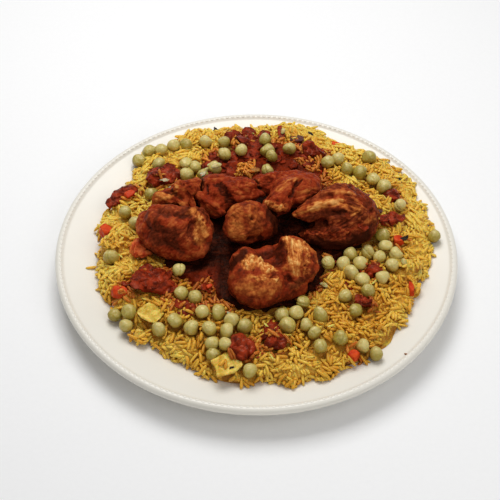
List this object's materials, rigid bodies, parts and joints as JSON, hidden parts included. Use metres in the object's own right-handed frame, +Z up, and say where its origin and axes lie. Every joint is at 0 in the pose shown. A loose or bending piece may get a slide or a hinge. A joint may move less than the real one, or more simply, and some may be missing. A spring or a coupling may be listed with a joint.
{
  "type": "plate of arroz con pollo",
  "caption": "Round beaded dinner plate with a bed of yellow rice, pieces of chicken in red sauce, green peas, tomato, red pepper and soft onion.",
  "frame": {"origin": "centre of the plate's foot ring, on the surface that the plate stands on", "axes": "+Z up through the food, -Y towards the diner, +X to the diner's right"},
  "size_m": [0.27, 0.27, 0.0592],
  "materials": {
    "glaze": "gloss cream-white glazed earthenware",
    "rice": "moist cooked saffron-yellow rice grains",
    "sauce": "oily dark red stewed tomato sauce",
    "chicken": "moist stewed chicken glazed with red-brown sauce",
    "pea": "dull olive-green cooked pea, slightly wrinkled",
    "tomato": "soft wet stewed tomato",
    "pepper": "wet cooked red pepper",
    "onion": "soft translucent cooked onion stained yellow"
  },
  "bodies": {
    "root": {"plate": "glaze", "chicken_centre_cut": "chicken", "chicken_drumstick": "chicken", "chicken_left_thigh": "chicken", "chicken_right_thigh": "chicken", "chicken_front_breast": "chicken", "chicken_back_middle": "chicken", "chicken_back_wing": "chicken", "pea_01": "pea", "pea_02": "pea", "pea_03": "pea", "pea_04": "pea", "pea_05": "pea", "pea_06": "pea", "pea_07": "pea", "pea_08": "pea", "pea_09": "pea", "pea_10": "pea", "pea_11": "pea", "pea_12": "pea", "pea_13": "pea", "pea_14": "pea", "pea_15": "pea", "pea_16": "pea", "pea_17": "pea", "pea_18": "pea", "pea_19": "pea", "pea_20": "pea", "pea_21": "pea", "pea_22": "pea", "pea_23": "pea", "pea_24": "pea", "pea_25": "pea", "pea_26": "pea", "pea_27": "pea", "pea_28": "pea", "pea_29": "pea", "tomato_back_left": "tomato", "tomato_left_edge": "tomato", "pepper_left_cube": "pepper", "tomato_left_block": "tomato", "tomato_left_front": "tomato", "pepper_left_strip": "pepper", "tomato_front_centre": "tomato", "tomato_front_right": "tomato", "tomato_right_peas": "tomato", "tomato_right_front": "tomato", "pepper_front_right": "pepper", "pepper_right_edge": "pepper", "pepper_right": "pepper", "tomato_right": "tomato", "tomato_right_back": "tomato", "tomato_back_right": "tomato", "onion_front": "onion", "onion_left": "onion", "onion_left_front": "onion", "onion_left_edge": "onion", "onion_right": "onion", "sauce": "sauce", "rice_bed": "rice"}
  },
  "joints": []
}
